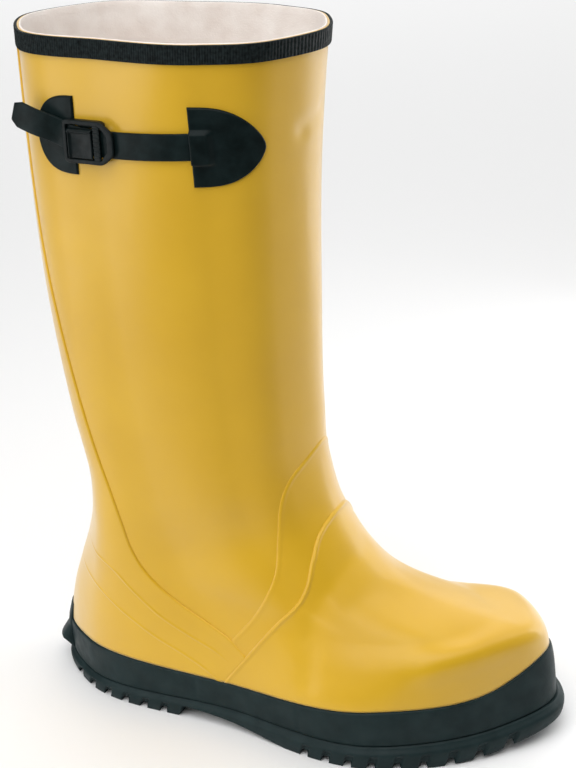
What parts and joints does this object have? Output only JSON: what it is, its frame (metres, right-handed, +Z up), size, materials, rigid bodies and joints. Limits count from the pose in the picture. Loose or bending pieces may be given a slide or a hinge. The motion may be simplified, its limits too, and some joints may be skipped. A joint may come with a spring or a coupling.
{
  "type": "overboot",
  "caption": "Tall pull-on rubber overboot for the right foot with a lugged sole, raised foxing, side strap and buckle below a banded collar.",
  "frame": {"origin": "middle of the boot's box, on the floor under its sole", "axes": "+X towards the toe, +Y towards the inner side of the foot, +Z up the shaft"},
  "size_m": [0.3424, 0.1448, 0.432],
  "materials": {
    "yellow_rubber": "satin gloss",
    "sole_rubber": "matte",
    "trim_rubber": "matte",
    "buckle_black": "satin",
    "lining_cotton": "brushed cotton"
  },
  "bodies": {
    "root": {"outsole": "sole_rubber", "foxing": "sole_rubber", "heel_kick": "sole_rubber", "upper": "yellow_rubber", "vamp": "yellow_rubber", "back_quarter": "yellow_rubber", "insole": "lining_cotton", "collar_band": "trim_rubber", "strap_anchor": "trim_rubber", "buckle_patch": "trim_rubber", "strap": "trim_rubber", "buckle_frame": "buckle_black", "buckle_plate": "buckle_black"}
  },
  "joints": []
}
